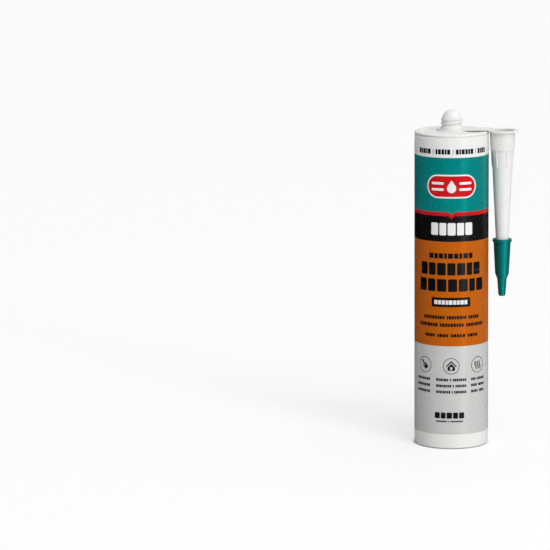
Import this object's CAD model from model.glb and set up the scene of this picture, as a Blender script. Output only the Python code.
import math

import bmesh
import bpy
from mathutils import Matrix, Vector
from mathutils.geometry import tessellate_polygon


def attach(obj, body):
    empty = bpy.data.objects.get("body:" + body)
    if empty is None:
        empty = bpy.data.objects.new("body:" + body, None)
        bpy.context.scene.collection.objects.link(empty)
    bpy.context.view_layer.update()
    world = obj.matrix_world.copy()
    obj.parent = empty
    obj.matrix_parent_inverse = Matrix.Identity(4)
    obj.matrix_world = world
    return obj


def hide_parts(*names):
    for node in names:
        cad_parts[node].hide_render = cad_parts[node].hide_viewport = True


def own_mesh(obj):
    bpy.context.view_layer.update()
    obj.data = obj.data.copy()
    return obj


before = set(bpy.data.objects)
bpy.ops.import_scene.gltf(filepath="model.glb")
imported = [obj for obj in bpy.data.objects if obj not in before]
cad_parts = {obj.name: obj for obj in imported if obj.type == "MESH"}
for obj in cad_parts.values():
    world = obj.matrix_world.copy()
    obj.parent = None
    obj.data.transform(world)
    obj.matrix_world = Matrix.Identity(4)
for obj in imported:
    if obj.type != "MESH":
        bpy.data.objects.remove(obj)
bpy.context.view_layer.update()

# Tube. One white polyethylene moulding, open at the rear. Its shoulder falls from a flat land to a
# round edge, its closed neck is cut open before use, and a coarse right-hand thread is moulded on
# the neck. Sizes here are in millimetres until a piece is put in its place.
MM = 0.001
TUBE_R = 25.0
TUBE_TOP = 215.0
BORE_R = 23.6
LAND_R = 10.5
SHOULDER_WALL = 1.6
SHOULDER_FALL = math.tan(math.radians(1.2))
EDGE_R = 0.9
INNER_EDGE_R = 2.0
GROOVE_Z, GROOVE_W, GROOVE_DEEP = 213.3, 0.7, 0.55
RECESS_IN_R, RECESS_OUT_R, RECESS_DEEP = 11.2, 20.9, 0.3
MOUTH_R, MOUTH_H = 23.9, 8.0
FOOT_CHAMFER_W, FOOT_CHAMFER_H = 0.5, 0.8
NECK_BASE_R = 7.6
NECK_BASE_H = 1.4
NECK_FLARE_H = 1.8
NECK_R = 6.6
NECK_STEP = 0.12
NECK_BORE_R = 5.55
DOME_Z = 222.35
THREAD_PITCH = 2.5
THREAD_DEEP = 0.7
THREAD_FOOT = 1.8
THREAD_CREST = 0.8
THREAD_FADE = 0.28
THREAD_REACH = 0.6
NECK_TURNS = 2.2
NECK_THREAD_Z = 218.4
RELIEF_DEPTH = 0.2
WHITE_PLASTIC = (0.705, 0.705, 0.697, 1.0)
WHITE_SOIL = (0.54, 0.53, 0.51, 1.0)
SHELF_DIRT = (0.21, 0.21, 0.2, 1.0)
DIRT_FULL_Z, DIRT_TOP_Z = 0.2, 0.8
SKIN = ["Color", "Roughness", "Height"]
SHARP_ANGLE = 38


def on_circle(radius, begin, sweep, parts, x=0.0, y=0.0):
    """Points at even turns on a part of a circle."""
    angles = [begin + sweep * k / parts for k in range(parts + 1)]
    return [(x + radius * math.cos(a), y + radius * math.sin(a)) for a in angles]


def rounded(corners, closed=False, step=15):
    """Outline through (x, y, radius) corners, with an arc of that radius in place of each corner."""
    out = []
    count = len(corners)
    for i, (x, y, radius) in enumerate(corners):
        here = Vector((x, y))
        if not radius or (not closed and i in (0, count - 1)):
            out.append((x, y))
            continue
        back = (Vector(corners[i - 1][:2]) - here).normalized()
        on = (Vector(corners[(i + 1) % count][:2]) - here).normalized()
        half = back.angle(on) / 2
        centre = here + (back + on).normalized() * (radius / math.sin(half))
        reach = radius / math.tan(half)
        first, last = here + back * reach - centre, here + on * reach - centre
        begin = math.atan2(first.y, first.x)
        sweep = (math.atan2(last.y, last.x) - begin + math.pi) % math.tau - math.pi
        parts = max(2, math.ceil(abs(math.degrees(sweep)) / step))
        out += on_circle(radius, begin, sweep, parts, centre.x, centre.y)
    return out


def arc(centre_y, radius, begin, end, parts):
    """Points of an arc whose centre is on the axis, from one angle above the horizon to another."""
    angles = [math.radians(begin + (end - begin) * k / parts) for k in range(parts + 1)]
    return [(max(0.0, radius * math.cos(a)), centre_y + radius * math.sin(a)) for a in angles]


def finely(outline, step):
    """The same outline with no stretch longer than step."""
    out = [outline[0]]
    for a, b in zip(outline, outline[1:]):
        parts = max(1, math.ceil(math.dist(a, b) / step))
        out += [
            (a[0] + (b[0] - a[0]) * k / parts, a[1] + (b[1] - a[1]) * k / parts)
            for k in range(1, parts + 1)
        ]
    return out


def new_object(name, data):
    """An object in the scene."""
    made = bpy.data.objects.new(name, data)
    bpy.context.scene.collection.objects.link(made)
    return made


def as_mesh(name, mesh):
    """A mesh from a bmesh, which is used up."""
    data = bpy.data.meshes.new(name)
    mesh.to_mesh(data)
    mesh.free()
    return data


def as_object(name, mesh):
    """A scene object from a bmesh, with its faces turned outwards."""
    bmesh.ops.remove_doubles(mesh, verts=mesh.verts, dist=1e-5)
    bmesh.ops.recalc_face_normals(mesh, faces=mesh.faces)
    return new_object(name, as_mesh(name, mesh))


def revolve(mesh, outline, segments=192):
    """Sweeps an outline of (radius, height) round +Z. It starts and ends on the axis, or is a loop."""
    loop = outline[0][0] > 1e-6
    rings = []
    for radius, height in outline:
        if radius < 1e-6:
            rings.append([mesh.verts.new((0, 0, height))] * segments)
            continue
        circle = on_circle(radius, 0.0, math.tau, segments)[:-1]
        rings.append([mesh.verts.new((*point, height)) for point in circle])
    for a, b in zip(rings, rings[1:] + (rings[:1] if loop else [])):
        for i in range(segments):
            j = (i + 1) % segments
            mesh.faces.new(list(dict.fromkeys([a[i], a[j], b[j], b[i]])))


def lathe(name, outline, segments=192):
    """An object swept from an outline."""
    mesh = bmesh.new()
    revolve(mesh, outline, segments)
    return as_object(name, mesh)


class Reading:
    """A value in a node tree. A sum written with it becomes Math nodes."""

    def __init__(self, socket):
        self.socket = socket

    def __add__(self, other):
        return calc("ADD", self, other)

    def __sub__(self, other):
        return calc("SUBTRACT", self, other)

    def __mul__(self, other):
        return calc("MULTIPLY", self, other)

    def __truediv__(self, other):
        return calc("DIVIDE", self, other)

    def __gt__(self, other):
        return calc("GREATER_THAN", self, other)

    def __abs__(self):
        return calc("ABSOLUTE", self)

    def feed(self, socket):
        """Links the value to a node's input."""
        self.socket.id_data.links.new(self.socket, socket)


def add_node(tree, kind, inputs=None, **settings):
    """A node whose inputs are given as numbers or as readings of other nodes."""
    made = tree.nodes.new(kind)
    for key, value in settings.items():
        setattr(made, key, value)
    for key, value in (inputs or {}).items():
        if isinstance(value, Reading):
            value.feed(made.inputs[key])
        else:
            made.inputs[key].default_value = value
    return made


def readings(node):
    """A node's readings by name."""
    return {socket.name: Reading(socket) for socket in node.outputs}


def read(tree, kind, inputs=None, output=0, **settings):
    """One reading of a new node."""
    return Reading(add_node(tree, kind, inputs, **settings).outputs[output])


def calc(operation, *values):
    """A Math node's result."""
    tree = next(value.socket.id_data for value in values if isinstance(value, Reading))
    return read(tree, "ShaderNodeMath", dict(enumerate(values)), operation=operation)


def ease(value, low, high, to_low=0.0, to_high=1.0):
    """A value taken smoothly from one range to another."""
    names = {"Value": value, "From Min": low, "From Max": high, "To Min": to_low, "To Max": to_high}
    tree = value.socket.id_data
    return read(tree, "ShaderNodeMapRange", names, interpolation_type="SMOOTHSTEP")


def split(vector):
    """A vector's X, Y and Z."""
    parts = add_node(vector.socket.id_data, "ShaderNodeSeparateXYZ", {0: vector})
    return list(readings(parts).values())


def triple(tree, x=0.0, y=0.0, z=0.0):
    """A vector from its X, Y and Z."""
    return read(tree, "ShaderNodeCombineXYZ", {0: x, 1: y, 2: z})


def geometry_rule(name, sizes):
    """An empty Geometry Nodes tree with named sizes. Gives the tree, its inputs and its last node."""
    tree = bpy.data.node_groups.new(name, "GeometryNodeTree")
    face = tree.interface
    face.new_socket("Geometry", in_out="INPUT", socket_type="NodeSocketGeometry")
    for label, default in sizes.items():
        kind = "NodeSocketInt" if isinstance(default, int) else "NodeSocketFloat"
        face.new_socket(label, in_out="INPUT", socket_type=kind).default_value = default
    face.new_socket("Material", in_out="INPUT", socket_type="NodeSocketMaterial")
    face.new_socket("Geometry", in_out="OUTPUT", socket_type="NodeSocketGeometry")
    given = readings(tree.nodes.new("NodeGroupInput"))
    realize = add_node(tree, "GeometryNodeRealizeInstances")
    finish = read(tree, "GeometryNodeSetMaterial", {
        "Geometry": Reading(realize.outputs[0]), "Material": given["Material"],
    })
    finish.feed(tree.nodes.new("NodeGroupOutput").inputs[0])
    return tree, given, realize.inputs[0]


def grow(piece, *rules):
    """Runs Geometry Nodes trees on a piece, each with its sizes, and keeps the result as its mesh."""
    for tree, sizes in rules:
        modifier = piece.modifiers.new(tree.name, "NODES")
        modifier.node_group = tree
        for item in tree.interface.items_tree:
            if item.in_out == "INPUT" and item.name in sizes:
                modifier[item.identifier] = sizes[item.name]
    seen = piece.evaluated_get(bpy.context.evaluated_depsgraph_get())
    plain = bpy.data.meshes.new_from_object(seen)
    piece.modifiers.clear()
    piece.data = plain


def put_in_place(piece, place=Matrix()):
    """Takes a finished piece from millimetres to its place in metres, smooth but for its edges."""
    piece.data.transform(Matrix.Scale(MM, 4) @ place)
    piece.data.shade_smooth()
    piece.data.set_sharp_from_angle(angle=math.radians(SHARP_ANGLE))


def shader_group(name, inputs, outputs):
    """An empty shader node group with named inputs and outputs."""
    tree = bpy.data.node_groups.new(name, "ShaderNodeTree")
    for label, default in inputs.items():
        kind = "NodeSocketColor" if isinstance(default, tuple) else "NodeSocketFloat"
        tree.interface.new_socket(label, in_out="INPUT", socket_type=kind).default_value = default
    for label in outputs:
        kind = "NodeSocketColor" if label == "Color" else "NodeSocketFloat"
        tree.interface.new_socket(label, in_out="OUTPUT", socket_type=kind)
    given = readings(tree.nodes.new("NodeGroupInput"))
    return tree, given, tree.nodes.new("NodeGroupOutput").inputs


def noise(tree, scale, detail=2.0, stretch=(1, 1, 1), roughness=0.5):
    """Noise on the piece's own coordinates, in metres, stretched where the real mark is."""
    here = read(tree, "ShaderNodeTexCoord", output="Object")
    spread = read(tree, "ShaderNodeMapping", {"Vector": here, "Scale": stretch})
    names = {"Vector": spread, "Scale": scale, "Detail": detail, "Roughness": roughness}
    return read(tree, "ShaderNodeTexNoise", names, "Fac")


def colour_mix(tree, factor, a, b, mode="MIX"):
    """A Mix node's colour."""
    return read(tree, "ShaderNodeMix", {0: factor, 6: a, 7: b}, 2, data_type="RGBA", blend_type=mode)


def build_scuffs():
    """Fine rubs and hairline scratches that any handled plastic picks up."""
    tree, given, out = shader_group("handling_scuffs", {"Amount": 1.0}, ["Rubs", "Scratches"])
    rubs = ease(noise(tree, 160, 7, roughness=0.62), 0.54, 0.72)
    patches = ease(noise(tree, 38, 2), 0.42, 0.66)
    (rubs * patches * given["Amount"]).feed(out["Rubs"])
    across = ease(noise(tree, 90, 5, (1, 1, 16)), 0.665, 0.69)
    along = ease(noise(tree, 110, 4, (13, 13, 1)), 0.70, 0.72)
    (calc("MAXIMUM", across, along) * given["Amount"]).feed(out["Scratches"])
    return tree


def handled(tree, amount):
    """The rubs and the scratches of the shared group."""
    group = add_node(tree, "ShaderNodeGroup", {"Amount": amount}, node_tree=handling_scuffs)
    return readings(group).values()


def build_moulded_skin():
    """Surface of a moulded part: flow tones, orange peel, draw lines, handling marks, a dirty foot."""
    tree, given, out = shader_group("moulded_skin", {
        "Tone": (0.8, 0.8, 0.8, 1.0), "Soil": (0.6, 0.6, 0.6, 1.0), "Shelf dirt": SHELF_DIRT,
        "Gloss": 0.4, "Scuffing": 1.0,
    }, SKIN)
    rubs, scratches = handled(tree, given["Scuffing"])
    flow = noise(tree, 34, 3, (1, 1, 0.35))
    drawn = noise(tree, 700, 2, (1, 1, 0.03))
    peel = noise(tree, 1500, 2)
    height = split(read(tree, "ShaderNodeTexCoord", output="Object"))[2]
    stood_on = ease(height, DIRT_FULL_Z * MM, DIRT_TOP_Z * MM, 1.0, 0.0)
    soiled = flow * 0.22 + rubs * 0.18 + scratches * 0.2
    colour = colour_mix(tree, soiled, given["Tone"], given["Soil"])
    colour_mix(tree, stood_on, colour, given["Shelf dirt"]).feed(out["Color"])
    rough = given["Gloss"] + (flow - 0.5) * 0.16 + (drawn - 0.5) * 0.08
    (rough + calc("MAXIMUM", rubs, scratches) * 0.2).feed(out["Roughness"])
    (drawn * 0.45 + peel * 0.35 - scratches * 0.5).feed(out["Height"])
    return tree


def skinned(name, group, inputs, relief, **surface):
    """A material whose colour, gloss and relief come from a group. The rest is set on the shader."""
    material = bpy.data.materials.new(name)
    material.use_nodes = True
    tree = material.node_tree
    shader = tree.nodes["Principled BSDF"].inputs
    skin = readings(add_node(tree, "ShaderNodeGroup", inputs, node_tree=group))
    skin["Color"].feed(shader["Base Color"])
    skin["Roughness"].feed(shader["Roughness"])
    read(tree, "ShaderNodeBump", {
        "Height": skin["Height"], "Strength": relief, "Distance": RELIEF_DEPTH * MM,
    }).feed(shader["Normal"])
    for label, value in surface.items():
        shader[label.replace("_", " ")].default_value = value
    return material


def place_round_axis(tree):
    """A point's X, Y and Z and its distance from the axis."""
    x, y, z = split(read(tree, "GeometryNodeInputPosition"))
    return x, y, z, calc("SQRT", x * x + y * y)


def push_out(tree, geometry, x, y, radius, lift):
    """Geometry whose points are moved away from the axis by a lift."""
    stretch = lift / calc("MAXIMUM", radius, 0.001)
    offset = triple(tree, x * stretch, y * stretch)
    return read(tree, "GeometryNodeSetPosition", {"Geometry": geometry, "Offset": offset})


def build_screw_thread():
    """Raises a soft-flanked helical ridge on a round wall, from the wall to the crest radius."""
    tree, given, last = geometry_rule("screw_thread", {
        "Wall radius": 6.85, "Crest radius": 7.4, "Start height": 0.0, "Pitch": 2.5, "Turns": 2.2,
        "Foot width": 1.5, "Crest width": 0.5, "Run-out": 0.3,
    })
    x, y, z, radius = place_round_axis(tree)
    turn = calc("ARCTAN2", y, x) / math.tau
    climbed = (z - given["Start height"]) / given["Pitch"] - turn
    nearest = calc("ROUND", climbed)
    off = abs(climbed - nearest) * given["Pitch"]
    flank = ease(off, given["Foot width"] / 2, given["Crest width"] / 2)
    along = nearest + turn
    faded = ease(calc("MINIMUM", along, given["Turns"] - along), 0.0, given["Run-out"])
    on_wall = calc("LESS_THAN", abs(radius - given["Wall radius"]), THREAD_REACH)
    lift = (given["Crest radius"] - radius) * (flank * faded * on_wall)
    push_out(tree, given["Geometry"], x, y, radius, lift).feed(last)
    return tree


handling_scuffs = build_scuffs()
moulded_skin = build_moulded_skin()
screw_thread = build_screw_thread()
white_moulding = skinned(
    "white_moulded_plastic", moulded_skin,
    {"Tone": WHITE_PLASTIC, "Soil": WHITE_SOIL, "Gloss": 0.4, "Scuffing": 0.8}, 0.22,
    Subsurface_Weight=0.25, Subsurface_Radius=(1.0, 0.95, 0.85), Subsurface_Scale=0.0004,
    Specular_IOR_Level=0.25,
)


def shoulder_z(radius):
    """Height of the shoulder's outside, before the shallow recess in it."""
    return TUBE_TOP - (radius - LAND_R) * SHOULDER_FALL


ceiling_z = TUBE_TOP - SHOULDER_WALL
ceiling_outer_z = ceiling_z - (BORE_R - LAND_R) * SHOULDER_FALL
flare_z = TUBE_TOP + NECK_BASE_H
threaded_wall = finely(arc(DOME_Z, NECK_R, 22, 0, 8) + [
    (NECK_R, flare_z + NECK_FLARE_H), (NECK_BASE_R - 0.2, flare_z + 0.5),
], NECK_STEP)
tube_outline = arc(DOME_Z, NECK_R, 90, 26, 14) + threaded_wall + rounded([
    (NECK_BASE_R, flare_z, 0),
    (NECK_BASE_R, TUBE_TOP, 0.06),
    (LAND_R, TUBE_TOP, 0.4),
    (RECESS_IN_R, shoulder_z(RECESS_IN_R), 0.1),
    (RECESS_IN_R + 0.4, shoulder_z(RECESS_IN_R) - RECESS_DEEP, 0.15),
    (RECESS_OUT_R - 0.3, shoulder_z(RECESS_OUT_R) - RECESS_DEEP, 0.15),
    (RECESS_OUT_R, shoulder_z(RECESS_OUT_R), 0.1),
    (TUBE_R, shoulder_z(TUBE_R), EDGE_R),
    (TUBE_R, GROOVE_Z + GROOVE_W / 2, 0.05),
    (TUBE_R - GROOVE_DEEP, GROOVE_Z + GROOVE_W / 2 - 0.1, 0.05),
    (TUBE_R - GROOVE_DEEP, GROOVE_Z - GROOVE_W / 2 + 0.1, 0.05),
    (TUBE_R, GROOVE_Z - GROOVE_W / 2, 0.05),
    (TUBE_R, FOOT_CHAMFER_H, 0.3),
    (TUBE_R - FOOT_CHAMFER_W, 0, 0.2),
    (MOUTH_R, 0, 0.15),
    (MOUTH_R, MOUTH_H, 0.3),
    (BORE_R, MOUTH_H + 0.3, 0.3),
    (BORE_R, ceiling_outer_z, INNER_EDGE_R),
    (LAND_R, ceiling_z, 0.8),
    (NECK_BORE_R, ceiling_z, 0.3),
    (NECK_BORE_R, DOME_Z - 0.4, 0),
]) + arc(DOME_Z, NECK_BORE_R, 0, 90, 14)
tube = lathe("tube", tube_outline)
grow(tube, (screw_thread, {
    "Wall radius": NECK_R, "Crest radius": NECK_R + THREAD_DEEP, "Start height": NECK_THREAD_Z,
    "Pitch": THREAD_PITCH, "Turns": NECK_TURNS, "Foot width": THREAD_FOOT,
    "Crest width": THREAD_CREST, "Run-out": THREAD_FADE, "Material": white_moulding,
}))
put_in_place(tube)
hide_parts("cartridge")
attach(tube, "cartridge")

# Piston. The follower cup in the open rear end, of natural polyethylene. Two lips seal it against
# the bore, a ring under its front wall takes the push plate, and eight gussets stiffen its skirt.
PISTON_R = 23.55
PISTON_REAR = 11.0
PISTON_FACE = 32.0
PISTON_FLOOR = 1.6
LIP_H = 3.0
LIP_RELIEF = 0.5
SKIRT_R = 21.75
BEARING_R, BEARING_W, BEARING_H = 13.5, 1.2, 1.2
GUSSETS = 8
GUSSET_LEG = 3.2
GUSSET_T = 1.2
NATURAL_PLASTIC = (0.60, 0.63, 0.62, 1.0)
NATURAL_SOIL = (0.42, 0.43, 0.41, 1.0)


def build_ring_of_ribs():
    """Repeats one rib at even turns round the axis."""
    tree, given, last = geometry_rule("ring_of_ribs", {"Count": 8, "First turn": 0.0})
    spots = read(tree, "GeometryNodeMeshLine", {"Count": given["Count"], "Offset": (0, 0, 0)})
    turn = (read(tree, "GeometryNodeInputIndex") + given["First turn"]) / given["Count"]
    read(tree, "GeometryNodeInstanceOnPoints", {
        "Points": spots, "Instance": given["Geometry"], "Rotation": triple(tree, z=turn * math.tau),
    }).feed(last)
    return tree


def prism(mesh, outline, low, high, soften, upright=True):
    """A flat outline given thickness, with its long edges softened. Upright prisms stand in X and Z."""
    corners = [mesh.verts.new((x, low, y) if upright else (x, y, low)) for x, y in outline]
    face = mesh.faces.new(corners)
    swept = bmesh.ops.extrude_face_region(mesh, geom=[face], use_keep_orig=True)["geom"]
    moved = [v for v in swept if isinstance(v, bmesh.types.BMVert)]
    shift = Vector((0, high - low, 0)) if upright else Vector((0, 0, high - low))
    bmesh.ops.translate(mesh, verts=moved, vec=shift)
    if soften:
        flats = [face] + [g for g in swept if isinstance(g, bmesh.types.BMFace)]
        rims = list(dict.fromkeys(edge for flat in flats for edge in flat.edges))
        bmesh.ops.bevel(
            mesh, geom=rims, offset=soften, segments=3, profile=0.5, affect="EDGES", clamp_overlap=True
        )


natural_moulding = skinned(
    "natural_moulded_plastic", moulded_skin,
    {"Tone": NATURAL_PLASTIC, "Soil": NATURAL_SOIL, "Gloss": 0.46, "Scuffing": 1.2}, 0.3,
    Subsurface_Weight=0.35, Subsurface_Radius=(1.0, 1.0, 0.95), Subsurface_Scale=0.0015,
)


def under_front(radius):
    """Height of the underside of the piston's front wall."""
    return PISTON_FACE - PISTON_FLOOR - max(0.0, radius - LAND_R) * SHOULDER_FALL


bearing_foot = PISTON_FACE - PISTON_FLOOR - BEARING_H
piston_outline = [(0, PISTON_FACE)] + rounded([
    (2, PISTON_FACE, 0),
    (LAND_R, PISTON_FACE, 0.8),
    (PISTON_R, PISTON_FACE - (PISTON_R - LAND_R) * SHOULDER_FALL, INNER_EDGE_R),
    (PISTON_R, PISTON_FACE - 2 * LIP_H + LIP_RELIEF, 0.3),
    (PISTON_R - LIP_RELIEF, PISTON_FACE - 2 * LIP_H, 0.3),
    (PISTON_R - LIP_RELIEF, PISTON_REAR + LIP_H, 0.3),
    (PISTON_R, PISTON_REAR + LIP_H - LIP_RELIEF, 0.3),
    (PISTON_R, PISTON_REAR, 0.25),
    (SKIRT_R, PISTON_REAR, 0.4),
    (SKIRT_R, under_front(SKIRT_R), INNER_EDGE_R),
    (BEARING_R, under_front(BEARING_R), 0.3),
    (BEARING_R, bearing_foot, 0.25),
    (BEARING_R - BEARING_W, bearing_foot, 0.25),
    (BEARING_R - BEARING_W, under_front(BEARING_R - BEARING_W), 0.3),
    (LAND_R, under_front(LAND_R), 0.4),
    (2, under_front(0), 0),
]) + [(0, under_front(0))]
piston_body = lathe("piston_body", piston_outline)
gusset_in = SKIRT_R - GUSSET_LEG
gusset_mesh = bmesh.new()
prism(gusset_mesh, [
    (gusset_in, under_front(gusset_in) - 0.3),
    (SKIRT_R + 0.3, under_front(gusset_in) - GUSSET_LEG),
    (SKIRT_R + 0.3, under_front(SKIRT_R) + 0.3),
    (gusset_in, under_front(gusset_in) + 0.3),
], -GUSSET_T / 2, GUSSET_T / 2, 0.2)
gussets = as_object("piston_gussets", gusset_mesh)
grow(gussets, (build_ring_of_ribs(), {
    "Count": GUSSETS, "First turn": 0.5, "Material": natural_moulding,
}))
piston_body.data.materials.append(natural_moulding)


def joined(name, parts):
    """One object from several, each of which keeps its own materials."""
    whole = bmesh.new()
    materials = []
    for part in parts:
        first = len(whole.faces)
        whole.from_mesh(part.data)
        whole.faces.ensure_lookup_table()
        slots = []
        for material in part.data.materials:
            if material not in materials:
                materials.append(material)
            slots.append(materials.index(material))
        for face in whole.faces[first:]:
            face.material_index = slots[face.material_index]
        bpy.data.objects.remove(part)
    data = as_mesh(name, whole)
    for material in materials:
        data.materials.append(material)
    return new_object(name, data)


piston = joined("follower_piston", [piston_body, gussets])
put_in_place(piston)
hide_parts("piston")
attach(piston, "piston")

# Sealant. White acrylic paste that fills the tube from the piston to the dome. The column behind
# the shoulder is pressed out as the piston comes forward, and the neck stays full.
PASTE_GAP = 0.3
PASTE_COLOUR = (0.80, 0.79, 0.75, 1.0)
PASTE_SHADE = (0.66, 0.65, 0.61, 1.0)


def build_paste_skin():
    """Paste filled by machine: soft folds from the filling nozzle and a few small air marks."""
    names = {"Tone": PASTE_COLOUR, "Soil": PASTE_SHADE, "Gloss": 0.3}
    tree, given, out = shader_group("smooth_paste", names, SKIN)
    folds = noise(tree, 60, 3, (1, 1, 3))
    pits = ease(noise(tree, 420, 2), 0.70, 0.78)
    shade = folds * 0.3 + pits * 0.5
    colour_mix(tree, shade, given["Tone"], given["Soil"]).feed(out["Color"])
    (given["Gloss"] + folds * 0.12 + pits * 0.2).feed(out["Roughness"])
    (folds - pits * 0.8).feed(out["Height"])
    return tree


paste = skinned(
    "white_sealant_paste", build_paste_skin(), {"Gloss": 0.3}, 0.4,
    Subsurface_Weight=0.2, Subsurface_Radius=(1.0, 0.95, 0.85), Subsurface_Scale=0.001,
)
paste_r = BORE_R - PASTE_GAP
paste_top = ceiling_z - PASTE_GAP
paste_foot = PISTON_FACE + PASTE_GAP
column_outline = [(0, paste_top)] + rounded([
    (2, paste_top, 0),
    (LAND_R, paste_top, 0.8),
    (paste_r, paste_top - (paste_r - LAND_R) * SHOULDER_FALL, INNER_EDGE_R),
    (paste_r, paste_foot - (paste_r - LAND_R) * SHOULDER_FALL, 0.2),
    (LAND_R, paste_foot, 0.8),
    (2, paste_foot, 0),
]) + [(0, paste_foot)]
paste_column = lathe("sealant_column", column_outline, 128)
neck_paste_r, neck_paste_foot = NECK_BORE_R - PASTE_GAP, paste_top - 0.1
neck_paste = lathe("sealant_in_neck", arc(DOME_Z, neck_paste_r, 90, 0, 12) + [
    (neck_paste_r, neck_paste_foot), (0, neck_paste_foot),
], 96)
for piece in (paste_column, neck_paste):
    piece.data.materials.append(paste)
    put_in_place(piece)
    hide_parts("sealant")
    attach(piece, "cartridge")
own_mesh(paste_column)

# Printed film. A thin plastic film printed in fields of grey, orange, black, red, teal and white,
# wrapped once round the tube and lapped at the back. Plain blocks, bars and simple signs stand
# where a maker prints words, so nothing on it can be read.
FILM_R = 25.02
FILM_T = 0.1
FILM_LOW = 10.1
FILM_LAP = 5.0
FILM_LAP_TURN = 90.0
GREY_TOP = 71.0
ORANGE_TOP = 142.5
BLACK_TOP = 160.0
RED_TOP = 162.6
TEAL_TOP = 199.4
FILM_TOP = 207.5
POINT_W, POINT_DROP = 2.3, 1.9
FILM_LAP_GAP = 0.005
FILM_STEP, FILM_LAP_RAMP = 2.0, 3.0
FILM_FRONT = 270.0
INK_T = 0.03
INK_SINK = 0.02
INK_STRIP = 0.8
INKS = {
    "grey": (0.495, 0.495, 0.49, 1.0),
    "orange": (0.435, 0.097, 0.004, 1.0),
    "black": (0.0035, 0.0035, 0.004, 1.0),
    "red": (0.50, 0.008, 0.012, 1.0),
    "teal": (0.0004, 0.179, 0.171, 1.0),
    "white": (0.71, 0.71, 0.702, 1.0),
}
FIELDS = [
    ("grey", GREY_TOP), ("orange", ORANGE_TOP), ("black", BLACK_TOP), ("red", RED_TOP),
    ("teal", TEAL_TOP), ("white", FILM_TOP),
]


def build_print_coat():
    """Ink under a satin coat: slight mottle, press streaks, gentle ripples in the film, and rubs."""
    names = {"Ink": (0.5, 0.5, 0.5, 1.0), "Gloss": 0.35, "Scuffing": 1.0}
    tree, given, out = shader_group("print_coat", names, SKIN)
    rubs, scratches = handled(tree, given["Scuffing"])
    mottle = noise(tree, 900, 3)
    streaks = noise(tree, 260, 2, (0.1, 0.1, 1))
    ripples = noise(tree, 42, 2, (1, 1, 0.45))
    dark = colour_mix(tree, 1.0, given["Ink"], (0.82, 0.82, 0.82, 1.0), "MULTIPLY")
    colour = colour_mix(tree, (mottle + streaks) * 0.21, given["Ink"], dark)
    worn = rubs * 0.035 + scratches * 0.09
    colour_mix(tree, worn, colour, (0.62, 0.61, 0.6, 1.0)).feed(out["Color"])
    rough = given["Gloss"] + (mottle - 0.5) * 0.07 + (streaks - 0.5) * 0.08
    (rough + calc("MAXIMUM", rubs, scratches) * 0.22).feed(out["Roughness"])
    (ripples * 2.2 + mottle * 0.1 - scratches * 0.25).feed(out["Height"])
    return tree


def build_marks_on_film():
    """Puts a block on each loose point, by its own width and height, and bends all onto the film."""
    tree, given, last = geometry_rule(
        "marks_on_film", {"Radius": 25.12, "Columns": 9, "Thickness": 0.05}
    )
    width, height = [
        read(tree, "GeometryNodeInputNamedAttribute", {"Name": label}, data_type="FLOAT")
        for label in ("block_w", "block_h")
    ]
    points, shapes = readings(add_node(tree, "GeometryNodeSeparateGeometry", {
        "Geometry": given["Geometry"], "Selection": width > 0.0,
    }, domain="POINT")).values()
    blocks = read(tree, "GeometryNodeInstanceOnPoints", {
        "Points": points, "Scale": triple(tree, width, given["Thickness"], height),
        "Instance": read(tree, "GeometryNodeMeshCube", {"Vertices X": given["Columns"]}),
    })
    flat = add_node(tree, "GeometryNodeJoinGeometry")
    for source in (blocks, shapes):
        source.feed(flat.inputs[0])
    solid = read(tree, "GeometryNodeRealizeInstances", {0: Reading(flat.outputs[0])})
    x, y, z = split(read(tree, "GeometryNodeInputPosition"))
    turn, out = x / given["Radius"], given["Radius"] - y
    wrapped = triple(tree, out * calc("SINE", turn), out * calc("COSINE", turn) * -1.0, z)
    read(tree, "GeometryNodeSetPosition", {"Geometry": solid, "Position": wrapped}).feed(last)
    return tree


def turned(loop, degrees):
    """A loop of points turned about its own origin."""
    c, s = math.cos(math.radians(degrees)), math.sin(math.radians(degrees))
    return [(c * px - s * py, s * px + c * py) for px, py in loop]


def oval(w, h, x=0.0, y=0.0):
    """A bar with round ends, or a disc where both sizes are the same."""
    end = h / 2
    left = on_circle(end, math.pi / 2, math.pi, 14, x - (w / 2 - end), y)
    return left + [(2 * x - px, 2 * y - py) for px, py in left]


def box(w, h, y, corner):
    """A rectangle with round corners."""
    sides = [(-w / 2, -h / 2), (w / 2, -h / 2), (w / 2, h / 2), (-w / 2, h / 2)]
    return [(px, y + py) for px, py in rounded([(*p, corner) for p in sides], closed=True, step=30)]


def wave(x, y, length, swing, width):
    """A rising vapour line."""
    rise = [k / 12 for k in range(13)]
    middle = [(x + swing * math.sin(math.tau * t), y + length * (t - 0.5)) for t in rise]
    left = [(px - width / 2, py) for px, py in middle]
    return left + [(px + width / 2, py) for px, py in middle[::-1]]


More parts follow.
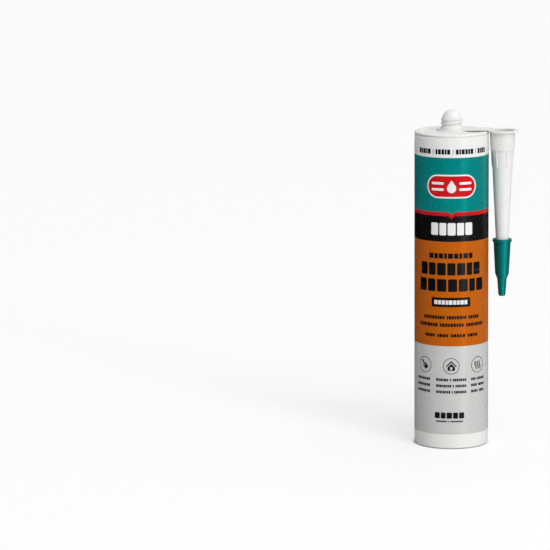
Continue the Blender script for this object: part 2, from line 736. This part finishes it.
def ink_shape(mesh, loops, z=0.0, x=0.0):
    """A closed slab of ink from outer and inner loops, cut in narrow strips so that it can bend."""
    flat = bmesh.new()
    loops = [[Vector((px + x, 0, py + z)) for px, py in loop] for loop in loops]
    corners = [flat.verts.new(p) for loop in loops for p in loop]
    for a, b, c in tessellate_polygon(loops):
        if (corners[b].co - corners[a].co).cross(corners[c].co - corners[a].co).length > 1e-7:
            flat.faces.new([corners[a], corners[b], corners[c]])
    low = min(v.co.x for v in corners)
    high = max(v.co.x for v in corners)
    for k in range(1, math.ceil((high - low) / INK_STRIP)):
        everything = flat.verts[:] + flat.edges[:] + flat.faces[:]
        cut = (low + INK_STRIP * k, 0, 0)
        bmesh.ops.bisect_plane(flat, geom=everything, plane_co=cut, plane_no=(1, 0, 0), dist=1e-6)
    bmesh.ops.translate(flat, verts=flat.verts, vec=(0, INK_SINK, 0))
    swept = bmesh.ops.extrude_face_region(flat, geom=flat.faces[:], use_keep_orig=True)["geom"]
    outer = [v for v in swept if isinstance(v, bmesh.types.BMVert)]
    bmesh.ops.translate(flat, verts=outer, vec=(0, -INK_T - INK_SINK, 0))
    bmesh.ops.recalc_face_normals(flat, faces=flat.faces)
    data = as_mesh("ink_shape", flat)
    mesh.from_mesh(data)
    bpy.data.meshes.remove(data)


LETTER_WIDTHS = (1.0, 0.82, 0.94, 0.66, 1.06, 0.88, 0.74, 1.0, 0.9, 0.7)
LETTER_GAP, WORD_GAP, DIVIDER_W = 0.17, 0.55, 0.3


def word_row(blocks, z, height, width, words, x=0.0):
    """Adds one row of plain blocks. Words are counts of blocks, and 0 is a thin divider."""
    pieces = []
    for at, count in enumerate(words):
        if at:
            pieces.append((WORD_GAP, False))
        if count == 0:
            pieces.append((DIVIDER_W, True))
        pieces += [(LETTER_WIDTHS[(k + 3 * at) % len(LETTER_WIDTHS)], True) for k in range(count)]
    unit = width / sum(w for w, drawn in pieces)
    start = x - width / 2
    for w, drawn in pieces:
        if drawn:
            blocks.append((start + w * unit / 2, z, (w - LETTER_GAP) * unit, height))
        start += w * unit


LARGE_WIDTHS = (1.0, 0.92, 1.04, 0.96, 1.0, 0.72, 0.98)
LARGE_GAP, LARGE_CORNER = 0.18, 0.15


def large_row(z, height, width, count, x=0.0):
    """One row of large blocks with round corners, as shapes."""
    widths = [LARGE_WIDTHS[k % len(LARGE_WIDTHS)] for k in range(count)]
    unit = width / (sum(widths) + LARGE_GAP * (count - 1))
    start = x - width / 2
    row = []
    for w in widths:
        block = box(w * unit, height, 0, LARGE_CORNER * w * unit)
        row.append(([block], z, start + w * unit / 2))
        start += (w + LARGE_GAP) * unit
    return row


def printed_marks(name, blocks, shapes, ink):
    """One ink's marks: its blocks as loose points and its shapes as slabs, laid on the film."""
    mesh = bmesh.new()
    for loops, z, x in shapes:
        ink_shape(mesh, loops, z, x)
    shaped = len(mesh.verts)
    for x, z, w, h in blocks:
        mesh.verts.new((x, (INK_SINK - INK_T) / 2, z))
    data = as_mesh(name, mesh)
    for label, part in (("block_w", 2), ("block_h", 3)):
        sizes = [0.0] * shaped + [block[part] for block in blocks]
        data.attributes.new(label, "FLOAT", "POINT").data.foreach_set("value", sizes)
    made = new_object(name, data)
    grow(made, (marks_on_film, {
        "Radius": FILM_R + FILM_T, "Thickness": INK_T + INK_SINK, "Material": ink,
    }))
    return made


print_coat = build_print_coat()
marks_on_film = build_marks_on_film()
SHEEN_WHITE = 0.04
INK_SHINE = {"black": 0.13}
ink = {
    name: skinned(
        f"film_{name}", print_coat, {"Ink": colour, "Gloss": 0.28, "Scuffing": 0.8}, 0.5,
        Specular_IOR_Level=INK_SHINE.get(name, 0.4),
        Specular_Tint=[min(1.0, SHEEN_WHITE + part / max(colour[:3])) for part in colour[:3]] + [1.0],
    )
    for name, colour in INKS.items()
}

film_mesh = bmesh.new()
span = 360 + math.degrees(FILM_LAP / FILM_R)
point_half = math.degrees(POINT_W / (FILM_R + FILM_T))
turns = sorted(
    {FILM_LAP_TURN + FILM_STEP * k for k in range(int(span / FILM_STEP) + 1)}
    | {FILM_LAP_TURN + span, FILM_FRONT - point_half, FILM_FRONT + point_half}
)
lap_start = FILM_LAP_TURN + 360 - FILM_LAP_RAMP
edges = [FILM_LOW] + [top for name, top in FIELDS]
last_field = len(FIELDS) - 1
columns = []
for turn in turns:
    lifted = min(1.0, max(0.0, (turn - lap_start) / FILM_LAP_RAMP)) * (FILM_T + FILM_LAP_GAP)
    drop = POINT_DROP * max(0.0, 1 - abs(turn - FILM_FRONT) / point_half)
    across = Vector((math.cos(math.radians(turn)), math.sin(math.radians(turn)), 0))
    heights = [z - drop if z in (BLACK_TOP, RED_TOP) else z for z in edges]
    columns.append([
        [film_mesh.verts.new(across * (FILM_R + depth + lifted) + Vector((0, 0, z))) for z in heights]
        for depth in (0, FILM_T)
    ])


def film_face(corners, field):
    """A face of the film in its field's ink."""
    film_mesh.faces.new(corners).material_index = field


for left, right in zip(columns, columns[1:]):
    for row in range(len(FIELDS)):
        for a, b in zip(left, right):
            film_face([a[row], b[row], b[row + 1], a[row + 1]], row)
    for row in (0, len(FIELDS)):
        film_face([left[0][row], right[0][row], right[1][row], left[1][row]], last_field)
for inner, outer in (columns[0], columns[-1]):
    for row in range(len(FIELDS)):
        film_face([inner[row], outer[row], outer[row + 1], inner[row + 1]], last_field)
film = as_object("film_sheet", film_mesh)
for name, top in FIELDS:
    film.data.materials.append(ink[name])

BACK_X = 57.0
BACK_TITLE_Z, BACK_TEXT_Z, BACK_NOTE_Z, BARS_Z = 136.4, 132.2, 66.0, 35.0
BACK_PITCH, BACK_TEXT_H, PARAGRAPH_GAP, LAST_LINE_SHORT = 2.9, 1.25, 1.4, 12.0
BACK_WORDS = ((7, 5, 8, 4), (5, 9, 6), (8, 4, 6, 5), (6, 7, 9))
NOTE_WORDS = ((5, 8, 6, 7), (9, 5, 7), (6, 6, 5, 8))
BARS, BAR_PITCH, BAR_H, BAR_WIDTHS = 24, 1.15, 11.0, (0.35, 0.75, 0.5)
SIGN_Z, SIGN_X, SIGN_D, SIGN_HOLE_D = 57.3, 19.8, 11.2, 10.4
SIGN_TEXT_DROP, SIGN_TEXT_PITCH, SIGN_TEXT_H = 9.5, 4.2, 1.8
SIGN_COLUMNS = ((12.4, -SIGN_X - 1.6), (21.2, 0.0), (12.6, SIGN_X + 0.6))
SIGN_WORDS = (((9,), (6, 1, 7), (3, 6)), ((8,), (8, 1, 6), (4, 5)), ((8,), (8, 1, 7), (4, 4)))
BRUSH_TILT, PLATE_Z = 40, 101.1
dark_words, light_words = [], []
word_row(light_words, PLATE_Z, 2.9, 23.6, (9,), -0.4)
for row in (
    (203.4, 3.4, 53.0, (5, 0, 5, 0, 6, 0, 4), 0.8),
    (132.8, 3.6, 31.4, (9,), -0.4),
    (90.7, 2.3, 41.0, (9, 8, 5)),
    (85.5, 2.3, 49.6, (8, 9, 8)),
    (78.3, 2.1, 39.0, (4, 4, 5, 4)),
    (19.1, 1.1, 18.6, (7, 1, 8), -1.2),
):
    word_row(dark_words, *row)
for side in (-1, 1):
    word_row(dark_words, BACK_TITLE_Z, 2.3, 18.0, (6, 4), side * BACK_X - 6.5)
    for line in range(13):
        short = LAST_LINE_SHORT if line in (4, 8, 12) else 0.0
        row_z = BACK_TEXT_Z - BACK_PITCH * line - PARAGRAPH_GAP * (line > 4) - PARAGRAPH_GAP * (line > 8)
        words = BACK_WORDS[(line + side) % 4]
        word_row(dark_words, row_z, BACK_TEXT_H, 31.0 - short, words, side * BACK_X - short / 2)
    for line in range(5):
        row_z = BACK_NOTE_Z - BACK_PITCH * line
        word_row(dark_words, row_z, BACK_TEXT_H, 30.0, NOTE_WORDS[(line + side) % 3], side * BACK_X)
dark_words += [
    (-BACK_X - 13.5 + BAR_PITCH * k, BARS_Z, BAR_WIDTHS[k % 3], BAR_H) for k in range(BARS)
]
word_row(dark_words, 27.2, 1.6, 22.0, (1, 6, 6), -BACK_X)
for line, row in enumerate(SIGN_WORDS):
    row_z = SIGN_Z - SIGN_TEXT_DROP - SIGN_TEXT_PITCH * line
    for words, (width, x) in zip(row, SIGN_COLUMNS):
        word_row(dark_words, row_z, SIGN_TEXT_H, width, words, x)

ring = [oval(SIGN_D, SIGN_D), oval(SIGN_HOLE_D, SIGN_HOLE_D)]
bristles = [(-1.7, -0.5), (-1.5, -2.6), (-0.4, -3.1), (0.9, -2.8), (1.6, -3.2), (1.7, -0.5)]
brush = (box(1.2, 3.4, 2.6, 0.5), box(3.6, 1.0, 0.3, 0.15), bristles)
brush = [[turned(loop, BRUSH_TILT)] for loop in brush]
house = [
    [[(-3.7, -0.1), (-3.2, -0.7), (0, 2.5), (3.2, -0.7), (3.7, -0.1), (0, 3.7)]],
    [[(-2.5, -3.1), (2.5, -3.1), (2.5, -0.8), (0, 1.7), (-2.5, -0.8)],
     [(-0.8, -2.5), (-0.8, -0.6), (0.8, -0.6), (0.8, -2.5)]],
]
vapour = [[wave(x, -0.2, 5.4, 0.55, 0.95)] for x in (-1.9, 0, 1.9)]
signs = [(ring, SIGN_Z, x) for x in (-SIGN_X, 0, SIGN_X)]
for x, sign in ((-SIGN_X, brush), (0, house), (SIGN_X, vapour)):
    signs += [(loops, SIGN_Z, x) for loops in sign]
signs.append(([box(27.2, 6.4, 0, 0.5)], PLATE_Z, -0.3))
signs += large_row(123.8, 8.4, 44.6, 7, -0.8) + large_row(112.7, 8.6, 49.0, 7)
signs += large_row(23.2, 4.2, 20.4, 5, -1.2)

EMBLEM_Z, EMBLEM_W, EMBLEM_H, EMBLEM_EDGE = 180.0, 35.4, 16.0, 1.0
DROP_R, DROP_TIP, DROP_SINK, DROP_TURN = 3.1, 5.6, 1.3, 125
drop_turns = [math.radians(-DROP_TURN + 2 * DROP_TURN * k / 20) for k in range(21)]
drop_sign = [(DROP_R * math.sin(a), -DROP_R * math.cos(a)) for a in drop_turns] + [(0, DROP_TIP)]
drop_sign = [(px, py - DROP_SINK) for px, py in drop_sign]
bars = [oval(8.8, 1.7, side * 9.6, dy) for side in (-1, 1) for dy in (2.1, -2.1)]
plate_edge = oval(EMBLEM_W - 2 * EMBLEM_EDGE, EMBLEM_H - 2 * EMBLEM_EDGE)
white_shapes = [([oval(EMBLEM_W, EMBLEM_H), plate_edge], EMBLEM_Z, 0)]
white_shapes += [([loop], EMBLEM_Z, 0) for loop in [drop_sign] + bars]
white_shapes += large_row(151.1, 8.4, 29.0, 5, 0.2)
red_shapes = [([plate_edge, drop_sign] + bars, EMBLEM_Z, 0)]

label = joined("printed_film", [
    film,
    printed_marks("black_marks", dark_words, signs, ink["black"]),
    printed_marks("red_marks", [], red_shapes, ink["red"]),
])
label_white = printed_marks("white_marks", light_words, white_shapes, ink["white"])
for piece in (label, label_white):
    put_in_place(piece)
    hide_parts("label")
    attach(piece, "cartridge")

# Nozzle. One white moulding that hangs beside the tube with its mouth up: a flanged threaded socket,
# a collar, a tapered shank with six grip ribs, and a long tip. A flat strap and a ring, moulded with
# it, hold it to the neck until it is cut off and screwed on.
HANG_X = 34.3
FLANGE_R, FLANGE_T, FLANGE_DROP, FLANGE_CLEAR = 11.0, 1.1, 1.1, 0.35
COLLAR_TOP_R, COLLAR_LOW_R, COLLAR_H, COLLAR_STEP = 8.5, 8.15, 12.4, 8.65
SOCKET_R, SOCKET_H, MOUTH_LEAD = 7.6, 10.0, 0.4
SHANK_TOP_R, SHANK_LOW_R, SHANK_END = 7.45, 4.25, 73.4
TIP_R, NOZZLE_LEN = 2.0, 106.9
NOZZLE_WALL, TIP_WALL = 1.1, 0.9
RIBS, RIB_H, RIB_W, RIB_PROUD, RIB_TURN = 6, 11.5, 1.3, 0.4, 55.0
SOCKET_THREAD_Z, SOCKET_TURNS = 1.8, 2.4
RING_BORE_R, RING_R, RING_T = 7.68, 10.0, 1.0
STRAP_W, STRAP_T, STRAP_LIFT, STRAP_FILLET = 14.0, 0.55, 0.3, 2.0
STRAP_BITE, STRAP_ROOT = 0.1, 0.8
MOUTH_RIM, SEAT_INSET = 0.3, 0.3
NOZZLE_SEGMENTS, WALL_STEP, RIB_STEP, SOCKET_STEP = 320, 0.9, 0.07, 0.14


def build_grip_ribs():
    """Raises even ribs along a round wall, with soft sides and a soft lower end."""
    tree, given, last = geometry_rule("grip_ribs", {
        "Count": 6, "First turn": 0.0, "Width": 1.3, "Proud": 0.4, "From": 0.0, "To": 10.0, "Soft": 0.2,
    })
    x, y, z, radius = place_round_axis(tree)
    face_x, face_y = split(read(tree, "GeometryNodeInputNormal"))[:2]
    pitch = calc("DIVIDE", math.tau, given["Count"])
    step = (calc("ARCTAN2", y, x) - given["First turn"]) / pitch
    off = abs(step - calc("ROUND", step)) * pitch * radius
    half = given["Width"] / 2
    side = ease(off, half + given["Soft"], half - given["Soft"])
    foot = ease(z, given["To"], given["To"] - given["Soft"] * 2)
    outer = x * face_x + y * face_y > 1.0
    lift = side * foot * ((z > given["From"]) * outer) * given["Proud"]
    push_out(tree, given["Geometry"], x, y, radius, lift).feed(last)
    return tree


def fall(z):
    """Radius of the shank at a depth below the flange."""
    return SHANK_TOP_R + (SHANK_LOW_R - SHANK_TOP_R) * (z - COLLAR_H) / (SHANK_END - COLLAR_H)


rib_foot = COLLAR_H + RIB_H
fine_from, fine_to = rib_foot - 0.6, rib_foot + 0.1
ribbed_wall = finely([(SHANK_TOP_R, COLLAR_H + 0.02), (fall(fine_from), fine_from)], WALL_STEP)
ribbed_wall += finely([(fall(fine_from), fine_from), (fall(fine_to), fine_to)], RIB_STEP)[1:]
socket_wall = finely([(SOCKET_R, SOCKET_H - 0.4), (SOCKET_R, 0.4)], SOCKET_STEP)
nozzle_outline = rounded([
    (SOCKET_R, 0.2, 0),
    (SOCKET_R, MOUTH_LEAD - FLANGE_T, 0.1),
    (SOCKET_R + MOUTH_LEAD, -FLANGE_T, 0.15),
    (FLANGE_R, -FLANGE_T, 0.5),
    (FLANGE_R, 0, 0.5),
    (COLLAR_TOP_R, 0, 0.5),
    (COLLAR_TOP_R - 0.25, COLLAR_STEP, 0.05),
    (COLLAR_TOP_R - 0.31, COLLAR_STEP + 0.1, 0.05),
    (COLLAR_LOW_R, COLLAR_H, 0.3),
    (SHANK_TOP_R + 0.05, COLLAR_H, 0),
]) + ribbed_wall + rounded([
    (fall(rib_foot + 0.4), rib_foot + 0.4, 0),
    (SHANK_LOW_R, SHANK_END, 3.0),
    (TIP_R, NOZZLE_LEN, 0.3),
    (TIP_R - TIP_WALL, NOZZLE_LEN, 0.25),
    (SHANK_LOW_R - NOZZLE_WALL, SHANK_END, 3.0),
    (SHANK_TOP_R - NOZZLE_WALL, COLLAR_H, 0.4),
    (SOCKET_R, SOCKET_H, 0),
]) + socket_wall
nozzle_mesh = bmesh.new()
revolve(nozzle_mesh, nozzle_outline, NOZZLE_SEGMENTS)
pass_r = TUBE_R + FLANGE_CLEAR
for vert in nozzle_mesh.verts:
    reach = math.hypot(vert.co.x, vert.co.y)
    side = vert.co.x / reach * HANG_X
    under_root = side * side - HANG_X * HANG_X + pass_r * pass_r
    if side < 0 < under_root and vert.co.z < COLLAR_STEP:
        room = -side - math.sqrt(under_root)
        if reach > room:
            vert.co.x *= room / reach
            vert.co.y *= room / reach
nozzle_body = as_object("nozzle_body", nozzle_mesh)
grow(
    nozzle_body,
    (screw_thread, {
        "Wall radius": SOCKET_R, "Crest radius": SOCKET_R - THREAD_DEEP, "Start height": SOCKET_THREAD_Z,
        "Pitch": THREAD_PITCH, "Turns": SOCKET_TURNS, "Foot width": THREAD_FOOT,
        "Crest width": THREAD_CREST, "Run-out": THREAD_FADE, "Material": white_moulding,
    }),
    (build_grip_ribs(), {
        "Count": RIBS, "First turn": math.radians(-RIB_TURN), "Width": RIB_W, "Proud": RIB_PROUD,
        "From": COLLAR_H, "To": rib_foot, "Soft": 0.2, "Material": white_moulding,
    }),
)
along_nozzle = Matrix.Translation((HANG_X, 0, TUBE_TOP - FLANGE_DROP)) @ Matrix.Rotation(math.pi, 4, "X")
nozzle_body.data.transform(along_nozzle)

hanger_mesh = bmesh.new()
revolve(hanger_mesh, rounded([
    (RING_BORE_R, 0, 0.05), (RING_R, 0, 0.05), (RING_R, RING_T, 0.45), (RING_BORE_R, RING_T, 0.1),
], closed=True))


def round_mouth(radius, reach_y):
    """Points of an arc about the nozzle's axis on the tube's side, from +reach_y to -reach_y."""
    angles = [math.asin(reach_y / radius) * (1 - k / 6) for k in range(13)]
    return [(HANG_X - radius * math.cos(a), radius * math.sin(a)) for a in angles]


joint_r, reach_y = RING_R - STRAP_BITE, STRAP_W / 2 + STRAP_FILLET
reach_x = math.sqrt((joint_r + STRAP_FILLET) ** 2 - reach_y ** 2)
tangent = math.atan2(reach_y, reach_x)
fillet = on_circle(STRAP_FILLET, math.pi + tangent, math.pi / 2 - tangent, 8, reach_x, reach_y)
root_r = joint_r - STRAP_ROOT
ring_arc = [
    (root_r * math.cos(a), root_r * math.sin(a)) for a in [tangent * (k / 6 - 1) for k in range(1, 13)]
]
strap_end_x = HANG_X - STRAP_W / 2
mouth_r = SOCKET_R + MOUTH_LEAD + MOUTH_RIM
mouth_y = math.sqrt(mouth_r ** 2 - (HANG_X - strap_end_x) ** 2)
upper = ring_arc[-1:] + fillet + [(strap_end_x, STRAP_W / 2)]
lower = [(px, -py) for px, py in upper[::-1]]
strap_outline = upper + round_mouth(mouth_r, mouth_y) + lower + ring_arc[:-1]
prism(hanger_mesh, strap_outline, STRAP_LIFT, STRAP_LIFT + STRAP_T, 0.1, upright=False)
seat_x, seat_y, seat_r = strap_end_x - SEAT_INSET, STRAP_W / 2 - SEAT_INSET, pass_r + 0.1
seat_lean = math.asin(seat_y / seat_r)
seat_outline = [
    (seat_r * math.cos(a), seat_r * math.sin(a)) for a in [seat_lean * (k / 6 - 1) for k in range(13)]
] + [(seat_x, seat_y)] + round_mouth(mouth_r + 0.1, mouth_y + 0.5) + [(seat_x, -seat_y)]
seat_low = FLANGE_T - FLANGE_DROP - SEAT_INSET
prism(hanger_mesh, seat_outline, seat_low, STRAP_LIFT + STRAP_T / 2, 0, upright=False)
hanger = as_object("hanger", hanger_mesh)
hanger.data.transform(Matrix.Translation((0, 0, TUBE_TOP)))
hanger.data.materials.append(white_moulding)

nozzle = joined("nozzle_and_strap", [nozzle_body, hanger])
put_in_place(nozzle)
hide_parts("nozzle")
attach(nozzle, "nozzle")

# Nozzle cap. A glossy teal moulding pushed over the tip: a lip to pull it by, two fine beads, and a
# slim closed end below a step that grips the tip.
CAP_GRIP = 33.7
CAP_START = NOZZLE_LEN - CAP_GRIP
CAP_LEN = 39.3
CAP_LIP_R, CAP_LIP_H = 6.55, 2.0
CAP_TOP_R, CAP_LOW_R = 5.85, 4.7
CAP_STEP_Z, CAP_STEP_H = 23.6, 3.8
CAP_SLIM_R, CAP_END_R = 3.25, 2.4
CAP_WALL, CAP_END_WALL, CAP_GAP = 0.9, 1.6, 0.15
BEADS, BEAD_PROUD, BEAD_HALF_W = (7.8, 11.4), 0.1, 0.36
CAP_TEAL = (0.001, 0.050, 0.047, 1.0)
CAP_TEAL_WORN = (0.005, 0.08, 0.075, 1.0)
CAP_SHINE = (0.01, 0.92, 0.88, 1.0)

cap_plastic = skinned(
    "teal_cap_plastic", moulded_skin,
    {"Tone": CAP_TEAL, "Soil": CAP_TEAL_WORN, "Gloss": 0.47, "Scuffing": 0.7}, 0.12,
    IOR=1.9, Specular_IOR_Level=1.0, Specular_Tint=CAP_SHINE,
)


def cap_radius(z):
    """Radius of the cap's body at a depth below its lip's face."""
    return CAP_TOP_R + (CAP_LOW_R - CAP_TOP_R) * (z - CAP_LIP_H) / (CAP_STEP_Z - CAP_LIP_H)


bead_points = []
for bead in BEADS:
    for share, proud in ((-0.9, 0), (-0.5, 0.7), (0, 1), (0.5, 0.7), (0.9, 0)):
        at = bead + share * BEAD_HALF_W
        bead_points.append((cap_radius(at) + proud * BEAD_PROUD, at, 0.08 if proud == 0 else 0))
step_end = CAP_STEP_Z + CAP_STEP_H
tip_lean = (SHANK_LOW_R - TIP_R) / (NOZZLE_LEN - SHANK_END)
grip_r = TIP_R + (CAP_GRIP - step_end) * tip_lean + CAP_GAP
cap_outline = [(0, CAP_LEN)] + rounded([
    (0.8, CAP_LEN, 0),
    (CAP_END_R - 0.05, CAP_LEN, 1.1),
    (CAP_SLIM_R, step_end, 0.8),
    (CAP_LOW_R, CAP_STEP_Z, 1.2),
] + bead_points[::-1] + [
    (CAP_TOP_R, CAP_LIP_H, 0.35),
    (CAP_LIP_R, CAP_LIP_H, 0.35),
    (CAP_LIP_R, 0, 0.35),
    (CAP_TOP_R - CAP_WALL, 0, 0.25),
    (CAP_TOP_R - CAP_WALL, CAP_LIP_H, 0),
    (CAP_LOW_R - CAP_WALL, CAP_STEP_Z, 0),
    (grip_r, step_end, 0),
    (TIP_R + CAP_GAP, CAP_GRIP + CAP_GAP, 0),
    (TIP_R - TIP_WALL, CAP_LEN - CAP_END_WALL, 0),
    (0.4, CAP_LEN - CAP_END_WALL, 0),
]) + [(0, CAP_LEN - CAP_END_WALL)]
cap = lathe("nozzle_cap", cap_outline)
cap.data.materials.append(cap_plastic)
put_in_place(cap, along_nozzle @ Matrix.Translation((0, 0, CAP_START)))
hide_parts("nozzle_cap")
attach(cap, "nozzle_cap")

# Floor. A plain pale sheet that the cartridge stands on. It keeps the cartridge's shadow and is seen
# from above only. Glossy surfaces see the same band of light in it as in the studio round it.
FLOOR_SIZE, FLOOR_DROP = 14.0, 0.00005
FLOOR_COLOUR = (0.80, 0.80, 0.80, 1.0)
BACKGROUND = 0.96
FLOOR_GLOW, GLOW_LIGHT = 0.5, 1.045
CONTACT_R, CONTACT_REACH = 0.0252, 0.002
SHINE_DIM, SHINE_FULL, SHINE_FAR, SHINE_BAND = 0.03, 0.5, 0.25, 3.6
SHINE_EDGE, SHINE_EDGE_SOFT = -0.47, 0.09
BAND_FROM, BAND_TO, BAND_SOFT = 0.54, 0.70, 0.05
FAR_FROM, FAR_TO = 0.72, 0.95
FRONT_SHINE = (-0.1, 0.5, 1.0, 0.1)


def build_studio_shine():
    """What glossy surfaces see round them, by direction: dim on the left and behind, lit in front
    and on the right, with one bright tall band."""
    tree, given, out = shader_group("studio_shine", {"X": 0.0, "Y": 0.0}, ["Strength"])
    to_right = given["X"]
    lit = ease(
        to_right, SHINE_EDGE - SHINE_EDGE_SOFT, SHINE_EDGE + SHINE_EDGE_SOFT, SHINE_DIM, SHINE_FULL
    ) - ease(to_right, FAR_FROM, FAR_TO, 0.0, SHINE_FULL - SHINE_FAR)
    rise, drop = [ease(to_right, edge - BAND_SOFT, edge + BAND_SOFT) for edge in (BAND_FROM, BAND_TO)]
    lit = lit + (rise - drop) * SHINE_BAND
    (lit * ease(given["Y"], *FRONT_SHINE)).feed(out["Strength"])
    return tree


studio_shine = build_studio_shine()
floor_data = bpy.data.meshes.new("floor")
half = FLOOR_SIZE / 2
floor_data.from_pydata(
    [(-half, -half, 0), (half, -half, 0), (half, half, 0), (-half, half, 0)], [], [(0, 1, 2, 3)]
)
floor = new_object("floor", floor_data)
floor.location.z = -FLOOR_DROP
floor_finish = bpy.data.materials.new("pale_floor")
floor_finish.use_nodes = True
tree = floor_finish.node_tree
shader = tree.nodes["Principled BSDF"]
for label, value in (("Base Color", FLOOR_COLOUR), ("Roughness", 0.9), ("Specular IOR Level", 0.1)):
    shader.inputs[label].default_value = value
path = readings(add_node(tree, "ShaderNodeLightPath"))
here = read(tree, "ShaderNodeTexCoord", output="Object")
from_axis = read(tree, "ShaderNodeVectorMath", {0: here}, "Value", operation="LENGTH")
share = ease(from_axis, CONTACT_R, CONTACT_R + CONTACT_REACH, 0.0, FLOOR_GLOW)
lit = read(tree, "ShaderNodeMixShader", {
    0: path["Is Camera Ray"] * share, 1: Reading(shader.outputs[0]),
    2: read(tree, "ShaderNodeEmission", {"Strength": GLOW_LIGHT}),
})
spot = readings(add_node(tree, "ShaderNodeNewGeometry"))
back = split(spot["Incoming"])
mirrored = {"X": back[0] * -1.0, "Y": back[1] * -1.0}
mirrored = read(tree, "ShaderNodeGroup", mirrored, node_tree=studio_shine)
lit = read(tree, "ShaderNodeMixShader", {
    0: path["Is Glossy Ray"], 1: lit, 2: read(tree, "ShaderNodeEmission", {"Strength": mirrored}),
})
read(tree, "ShaderNodeMixShader", {
    0: spot["Backfacing"], 1: lit, 2: read(tree, "ShaderNodeBsdfTransparent"),
}).feed(tree.nodes["Material Output"].inputs["Surface"])
floor_data.materials.append(floor_finish)

# Light. A pale studio that is darker on the left, a soft sun from the right and the front for the
# shadow, a tall soft box that isn't seen in reflections, and a faint glow under the open rear end,
# where the floor gives no light.
SIDE_RISE, SIDE_FALL = (-0.9, 0.4, 0.15, 0.62), (0.55, 1.0, 0.0, 0.3)
OVERHEAD = (0.5, 1.0, 0.0, 0.85)
REAR_SHINE, REAR_SIDE = (0.0, 0.2, 0.0, 0.8), (0.0, 0.5)
world = bpy.data.worlds.new("studio")
bpy.context.scene.world = world
world.use_nodes = True
tree = world.node_tree
path = readings(add_node(tree, "ShaderNodeLightPath"))
to_right, away, high = split(read(tree, "ShaderNodeTexCoord", output="Generated"))
side_light = ease(to_right, *SIDE_RISE) - ease(to_right, *SIDE_FALL) + ease(high, *OVERHEAD)
shine = read(tree, "ShaderNodeGroup", {"X": to_right, "Y": away}, node_tree=studio_shine)
shine = shine + ease(high, *REAR_SHINE) * ease(away, *REAR_SIDE)
lighting = {0: path["Is Glossy Ray"], 2: side_light, 3: shine}
lighting = read(tree, "ShaderNodeMix", lighting, data_type="FLOAT")
strength = {0: path["Is Camera Ray"], 2: lighting, 3: BACKGROUND}
strength = read(tree, "ShaderNodeMix", strength, data_type="FLOAT")
sky = tree.nodes["Background"].inputs
sky["Color"].default_value = (1.0, 1.0, 1.0, 1.0)
strength.feed(sky["Strength"])


def lamp(name, kind, place, target, **settings):
    """A lamp at a place, turned to a target."""
    data = bpy.data.lights.new(name, kind)
    for key, value in settings.items():
        setattr(data, key, value)
    made = new_object(name, data)
    made.location = place
    made.rotation_mode = "QUATERNION"
    made.rotation_quaternion = (Vector(target) - Vector(place)).to_track_quat("-Z", "Y")
    return made


lamp("key", "SUN", (0.9, -1.8, 1.9), (0, 0, 0), energy=1.34, angle=math.radians(38))
soft_box = lamp(
    "soft_box", "AREA", (0.98, -1.17, 0.45), (0, 0, 0.12),
    shape="RECTANGLE", size=0.28, size_y=1.3, energy=7.0,
)
soft_box.visible_glossy = False
lamp("rear_glow", "AREA", (0, 0, 0.0005), (0, 0, 1), shape="DISK", size=0.04, energy=0.0025)

# Camera. A long lens a little above the cartridge, as in the photograph.
LENS, SENSOR = 234.34, 36.0
CAMERA_PLACE = (0.0, -2.4, 0.53741)
YAW, PITCH, ROLL = (math.radians(a) for a in (-2.864, 9.962, -0.391))
forward = Vector((math.sin(YAW) * math.cos(PITCH), math.cos(YAW) * math.cos(PITCH), -math.sin(PITCH)))
level = Vector((math.cos(YAW), -math.sin(YAW), 0))
upward = level.cross(forward)
right = math.cos(ROLL) * level + math.sin(ROLL) * upward
up = -math.sin(ROLL) * level + math.cos(ROLL) * upward
camera_data = bpy.data.cameras.new("camera")
camera_data.lens = LENS
camera_data.sensor_width = SENSOR
camera_data.clip_end = 50
camera = new_object("camera", camera_data)
turned_to_view = Matrix((right, up, -forward)).transposed().to_4x4()
camera.matrix_world = Matrix.Translation(CAMERA_PLACE) @ turned_to_view
bpy.context.scene.camera = camera
bpy.context.scene.view_settings.view_transform = "Standard"
